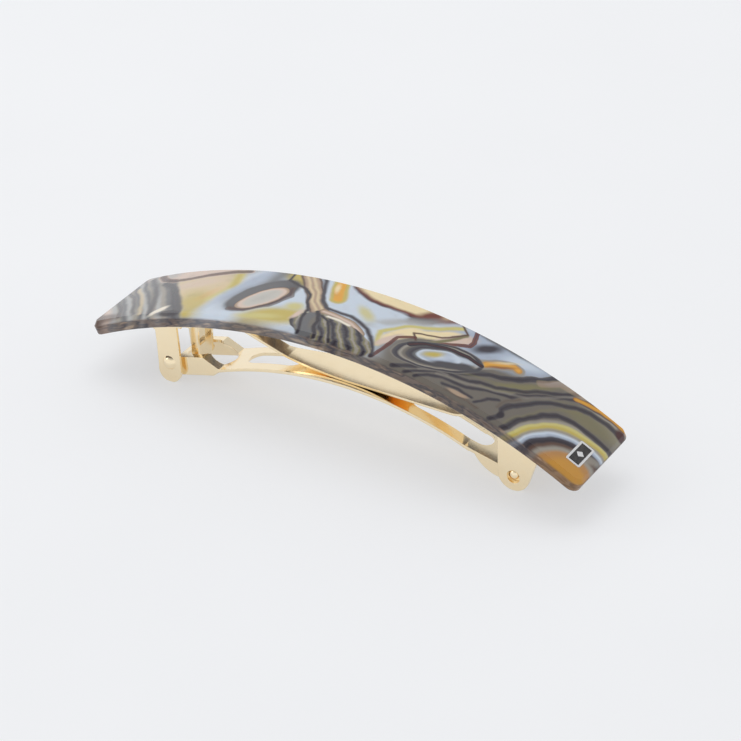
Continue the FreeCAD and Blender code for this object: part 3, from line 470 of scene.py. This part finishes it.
def paint_right(m):
    """Dark folded half with its nested arcs."""
    m.patch(TAUPE, (33.0, -5.0), 24.0, 14.0, 0.0, 0.12)
    m.patch(BLUE, (26.0, 6.8), 10.5, 4.2, 12.0, 0.3)
    m.patch(SKY, (30.6, 7.6), 3.4, 1.6, 30.0, 0.5)
    m.patch(NIGHT, (24.2, 6.4), 3.0, 1.2, 48.0, 0.6)
    m.patch(SLATE, (26.0, 9.6), 7.0, 1.0, 0.0, 0.5)
    m.ribbon([(25.0, 1.4), (27.1, 3.3), (28.6, 4.6), (30.0, 5.4), (31.0, 5.2)],
             [(0.0, AMBER), (0.2, AMBER), (0.6, HONEY), (0.95, STONE), (1.5, STONE)], 0.95)
    m.patch(CREAM, (28.4, 5.2), 2.2, 0.3, 44.0, 0.9, 0.7)
    m.patch(RUST, (28.4, 3.6), 2.2, 0.3, 42.0, 0.9, 0.6)
    m.patch(MOSS, (46.0, 4.6), 5.6, 2.0, 8.0, 0.6, 0.7)
    m.patch(MOSS, (33.0, 1.0), 6.0, 1.2, 48.0, 0.5)
    corner = m.oval((48.6, -10.6), 1.0, 1.08, 0.0)
    rings = m.g.ramp(corner, 0.0, 12.6, [
        (0.0, HONEY), (3.0, HONEY), (4.6, colour(176, 128, 74)), (5.6, STONE), (6.6, BROWN), (7.3, INK),
        (7.9, NIGHT),
        (8.5, BLUE), (8.9, SKY), (9.5, STONE), (10.2, OLIVE), (10.8, GREEN), (11.4, STONE), (12.1, TAUPE),
        (12.6, TAUPE)])
    m.cover(rings, m.g.smooth(corner, 12.6, 11.8))
    m.patch(STONE, (49.4, -3.4), 2.6, 1.0, 20.0, 0.5, 0.8)
    folds = (
        ([(36.2, -9.9), (36.8, -5.8), (37.9, -3.3), (39.3, -1.2), (41.1, 0.7), (43.9, 1.9), (47.5, 2.3),
          (52.0, 1.8)], 1.0),
        ([(51.5, 6.6), (47.9, 7.0), (44.6, 6.7), (42.5, 5.6), (41.1, 4.2), (38.9, 2.6), (37.5, 1.0),
          (35.7, -1.5),
          (34.3, -4.0), (33.8, -6.2), (34.3, -7.6), (33.4, -9.9)], 0.8),
        ([(44.4, 9.4), (41.1, 7.0), (39.6, 5.3), (37.5, 3.5), (36.1, 1.7), (33.9, -0.5), (33.2, -2.2),
          (29.6, -3.9),
          (26.4, -5.8), (22.4, -6.6), (20.0, -8.0), (18.6, -9.9)], 0.6),
        ([(41.4, 9.9), (39.6, 6.7), (37.9, 4.9), (35.7, 3.1), (34.3, 1.3), (32.1, -0.5), (30.4, -1.9),
          (27.9, -2.8),
          (26.4, -4.0), (23.2, -4.7), (20.0, -6.5), (16.4, -9.9)], 0.6),
        ([(36.6, 9.9), (35.0, 6.3), (33.2, 4.5), (31.8, 2.8), (29.6, 1.1), (27.9, 0.3), (26.4, -1.2),
          (25.0, -2.6),
          (21.4, -4.4), (19.0, -5.9), (14.0, -9.6)], 1.1),
        ([(32.4, -4.6), (30.7, -5.8), (29.4, -8.2)], 0.4),
        ([(23.0, -8.0), (25.6, -7.2), (28.2, -7.6)], 0.4),
        ([(52.0, 8.6), (46.0, 8.5), (42.6, 7.6)], 0.4),
    )
    for points, width in folds:
        m.ribbon(points, [(0.0, INK), (width * 0.35, NIGHT), (width * 0.35 + 0.5, TAUPE)], 0.92)
    stripes = (
        (MOSS, [(43.6, 5.0), (40.6, 2.2), (38.6, -0.4), (36.2, -5.4), (35.6, -8.6)]),
        (STONE, [(41.8, 8.8), (38.6, 4.2), (35.2, 0.2), (31.0, -2.7), (26.0, -4.9), (21.0, -6.6)]),
        (MOSS, [(39.6, 9.4), (36.2, 4.6), (33.6, 1.8), (29.6, -0.8), (26.0, -2.2), (22.0, -4.0)]),
        (BROWN, [(34.6, -1.2), (33.4, -3.4), (32.9, -6.4)]),
        (BROWN, [(24.0, -8.9), (28.0, -8.7), (30.6, -9.3)]),
        (STONE, [(17.8, -7.6), (20.4, -5.9), (22.6, -5.4)]),
    )
    for tint, points in stripes:
        m.seam(tint, points, 0.25, 0.5, 0.5)
    m.patch(INK, (34.2, -7.6), 0.9, 0.6, 70.0, 0.4)
    m.patch(TAN, (26.0, -8.3), 1.9, 0.5, 6.0, 0.4)
    m.ribbon([(35.4, 5.4), (37.6, 8.4), (43.0, 9.8)], [(0.0, TAN), (0.5, TAN), (1.1, MOSS)], 0.5)
    m.ribbon([(41.6, 7.7), (45.6, 8.9), (51.5, 8.7)], [(0.0, AMBER), (0.35, HONEY), (0.75, RUST)])
    m.patch(WINE, (50.8, 7.0), 1.3, 0.9, -40.0, 0.4)


def paint_eye(m):
    m.lens((18.8, -2.1), 7.6, 3.9, 28.0, [
        (0.0, SKY), (0.36, BLUE), (0.5, SKY), (0.58, SLATE), (0.66, NIGHT), (0.74, DARK), (0.82, TAUPE),
        (0.9, STONE), (0.97, NIGHT), (1.04, DARK), (1.1, STONE)], 1.12)
    m.patch(DARK, (22.4, -2.4), 5.4, 1.0, 30.0, 0.4)
    m.patch(SKY, (22.4, 0.2), 2.6, 0.8, 20.0, 0.6, 0.85)
    m.patch(OLIVE, (17.5, -2.1), 1.7, 0.8, 45.0, 0.7)
    m.ribbon([(13.2, -2.2), (15.2, -0.2), (18.4, 1.1), (22.6, 1.8), (25.6, 1.5)],
             [(0.0, WINE), (0.3, INK), (0.6, DARK)])


def make_acetate():
    """Marbled acetate, later features over earlier ones, with streaks through its thickness that also darken
    the side faces as painted shade.
    """
    graph = Graph("acetate_marble")
    m = Marble(graph)
    m.cover(STONE, 1.0)
    m.patch(SKY, (-2.0, 3.0), 26.0, 14.0, 0.0, 0.1)
    paint_left(m)
    paint_lens(m)
    paint_right(m)
    paint_middle(m)
    paint_channel(m)
    paint_ribs(m)
    paint_eye(m)
    m.cover(TAUPE, graph.smooth(m.grain, 0.0, 1.3), 0.3)
    # Side faces below the top: layered streaks of the acetate, in mostly dark tones that paint shade onto
    # the sides
    side_streaks_and_shade = graph.ramp(m.side_streak_and_shade, -1.0, 1.0, [
        (-1.0, INK), (-0.5, BROWN), (-0.2, colour(116, 100, 92)), (0.0, NIGHT), (0.2, colour(104, 88, 80)),
        (0.45, TAN), (0.7, BROWN), (1.0, INK)])
    m.cover(side_streaks_and_shade, graph.smooth(m.depth, *SIDE_SHADE_DEPTH), 0.75)
    graph.feed(graph.shader.inputs["Base Color"], m.paint)
    graph.shader.inputs["Roughness"].default_value = 0.07
    graph.shader.inputs["IOR"].default_value = 1.49
    graph.shader.inputs["Specular IOR Level"].default_value = 0.4
    graph.shader.inputs["Subsurface Weight"].default_value = 0.04
    graph.shader.inputs["Subsurface Scale"].default_value = 0.6 * MM
    ripple = graph.node("ShaderNodeBump")
    ripple.inputs["Strength"].default_value = 0.1
    ripple.inputs["Distance"].default_value = 0.05 * MM
    x, y, z = graph.position()
    swell = graph.noise(graph.vector(x, y, z), 0.22, 2.0)
    graph.link(swell.socket, ripple.inputs["Height"])
    graph.link(ripple.outputs[0], graph.shader.inputs["Normal"])
    return graph.material


# ---------------------------------------------------------------- metals and enamel

def make_metal(name, tint, edge_tint, roughness, edge_radius, scratch_angle, coat=0.25):
    """Polished metal with eased edges, hairline polishing marks and faint handling marks."""
    graph = Graph(name)
    x, y, z = graph.position()
    turn = math.radians(scratch_angle)
    along = x * math.cos(turn) + y * math.sin(turn)
    across = y * math.cos(turn) - x * math.sin(turn)
    hairs = graph.noise(graph.vector(along * 0.15, across * 7.0, z * 7.0), 1.0, 3.0, 0.6)
    smudge = graph.noise(graph.vector(x, y, z), 0.35, 3.0)
    graph.feed(graph.shader.inputs["Base Color"],
               graph.mix(tint, edge_tint, graph.smooth(smudge, -0.8, 1.2) * 0.5))
    graph.shader.inputs["Metallic"].default_value = 1.0
    graph.feed(graph.shader.inputs["Roughness"], graph.smooth(smudge, -1.0, 1.4) * 0.06 + roughness)
    graph.shader.inputs["Coat Weight"].default_value = coat
    graph.shader.inputs["Coat Roughness"].default_value = 0.05
    bevel = graph.node("ShaderNodeBevel", samples=4)
    bevel.inputs["Radius"].default_value = edge_radius * MM
    bump = graph.node("ShaderNodeBump")
    bump.inputs["Strength"].default_value = 0.06
    bump.inputs["Distance"].default_value = 0.01 * MM
    graph.link(hairs.socket, bump.inputs["Height"])
    graph.link(bevel.outputs[0], bump.inputs["Normal"])
    graph.link(bump.outputs[0], graph.shader.inputs["Normal"])
    return graph.material


def make_enamel():
    """Dark glossy fill with a faint mottle."""
    graph = Graph("plaque_enamel_dark")
    x, y, z = graph.position()
    mottle = graph.noise(graph.vector(x, y, z), 1.3, 3.0)
    graph.feed(graph.shader.inputs["Base Color"],
               graph.mix(colour(38, 36, 36), colour(70, 66, 62), graph.smooth(mottle, -0.4, 1.2)))
    graph.shader.inputs["Roughness"].default_value = 0.22
    return graph.material


def dress(node, material):
    """Give a CAD node its material."""
    item = nodes[node]
    item.data.materials.clear()
    item.data.materials.append(material)


GOLD = (0.975, 0.825, 0.57)
GOLD_WARM = (0.965, 0.78, 0.49)
acetate = make_acetate()
silver = make_metal("plaque_silver", (0.82, 0.82, 0.82), (0.74, 0.74, 0.75), 0.16, 0.06, 80.0, 0.0)
gold_base = make_metal("gold_base_strip", GOLD, GOLD_WARM, 0.12, 0.12, 0.0)
gold_arm = make_metal("gold_arm", GOLD, GOLD_WARM, 0.10, 0.16, 2.0)
gold_bar = make_metal("gold_tension_bar", GOLD, GOLD_WARM, 0.11, 0.10, -3.0)
gold_catch = make_metal("gold_catch", GOLD, GOLD_WARM, 0.12, 0.12, 86.0)
gold_pins = make_metal("gold_pins", GOLD, GOLD_WARM, 0.09, 0.08, 45.0)
dress("acetate_plate", acetate)
dress("inlay_plaque", silver)
dress("plaque_enamel", make_enamel())
dress("base_strip", gold_base)
dress("clamp_arm", gold_arm)
dress("tension_bar", gold_bar)
for name in ("catch_plate", "near_release_lever", "far_release_lever"):
    dress(name, gold_catch)
for name in ("mounting_studs", "catch_rivets", "hinge_pin"):
    dress(name, gold_pins)


# ---------------------------------------------------------------- floor, light and camera

def make_floor():
    """Matt white sweep lit softly from beneath, faintly uneven."""
    half = FLOOR_HALF_SIZE
    mesh = bpy.data.meshes.new("floor")
    mesh.from_pydata([(-half, -half, 0), (half, -half, 0), (half, half, 0),
                      (-half, half, 0)], [], [(0, 1, 2, 3)])
    floor = bpy.data.objects.new("floor", mesh)
    bpy.context.scene.collection.objects.link(floor)
    graph = Graph("white_sweep")
    x, y, z = graph.position()
    tone = graph.noise(graph.vector(x, y, z), 0.02, 3.0)
    paper = graph.mix((0.400, 0.404, 0.412), (0.406, 0.410, 0.418), graph.smooth(tone, -1.0, 1.0))
    graph.feed(graph.shader.inputs["Base Color"], paper)
    graph.feed(graph.shader.inputs["Emission Color"], paper)
    graph.shader.inputs["Emission Strength"].default_value = FLOOR_GLOW
    graph.shader.inputs["Roughness"].default_value = 0.85
    graph.shader.inputs["Specular IOR Level"].default_value = 0.1
    mesh.materials.append(graph.material)
    floor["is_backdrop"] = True


def aim(item, target):
    """Turn an object's -Z axis towards a point."""
    item.rotation_euler = (Vector(target) - item.location).to_track_quat("-Z", "Y").to_euler()


def add_light(name, place, width, height, power):
    """White rectangular light aimed at the barrette."""
    data = bpy.data.lights.new(name, "AREA")
    data.shape = "RECTANGLE"
    data.size = width
    data.size_y = height
    data.energy = power
    light = bpy.data.objects.new(name, data)
    bpy.context.scene.collection.objects.link(light)
    light.location = place
    aim(light, (0.0, 0.0, 0.01))


def make_light():
    """Bright horizon, dimmer ceiling and two large soft lights."""
    world = bpy.data.worlds.new("studio")
    bpy.context.scene.world = world
    world.use_nodes = True
    tree = world.node_tree
    background = tree.nodes["Background"]
    direction = tree.nodes.new("ShaderNodeTexCoord")
    split = tree.nodes.new("ShaderNodeSeparateXYZ")
    ramp = tree.nodes.new("ShaderNodeValToRGB")
    stops = ramp.color_ramp.elements
    stops[0].position = 0.5
    stops[0].color = HORIZON
    stops[1].position = 0.86
    stops[1].color = CEILING
    tree.links.new(direction.outputs["Generated"], split.inputs[0])
    tree.links.new(split.outputs[2], ramp.inputs[0])
    tree.links.new(ramp.outputs[0], background.inputs["Color"])
    background.inputs["Strength"].default_value = WORLD_STRENGTH
    add_light("soft_top", (-0.15, 0.15, 0.9), 0.9, 0.7, 3.2)
    add_light("soft_left", (-0.7, -0.25, 0.5), 0.5, 0.5, 1.0)


def make_bounces():
    """Enough reflections between the facing metal sheets."""
    cycles = bpy.context.scene.cycles
    cycles.max_bounces = MAX_BOUNCES
    cycles.glossy_bounces = GLOSSY_BOUNCES


def make_camera():
    """Long lens from the hinge side, looking down."""
    azimuth, elevation = math.radians(CAMERA_AZIMUTH), math.radians(CAMERA_ELEVATION)
    distance = CAMERA_DISTANCE * MM
    target = Vector(CAMERA_TARGET) * MM
    back = Vector((math.sin(azimuth) * math.cos(elevation),
                   -math.cos(azimuth) * math.cos(elevation), math.sin(elevation)))
    data = bpy.data.cameras.new("camera")
    data.sensor_width = SENSOR_WIDTH
    data.lens = CAMERA_LENS
    camera = bpy.data.objects.new("camera", data)
    bpy.context.scene.collection.objects.link(camera)
    camera.location = target + back * distance
    aim(camera, target)
    bpy.context.scene.camera = camera


make_floor()
make_light()
make_camera()
make_bounces()
bpy.context.scene.view_settings.view_transform = "Standard"

size_after = plain(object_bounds())
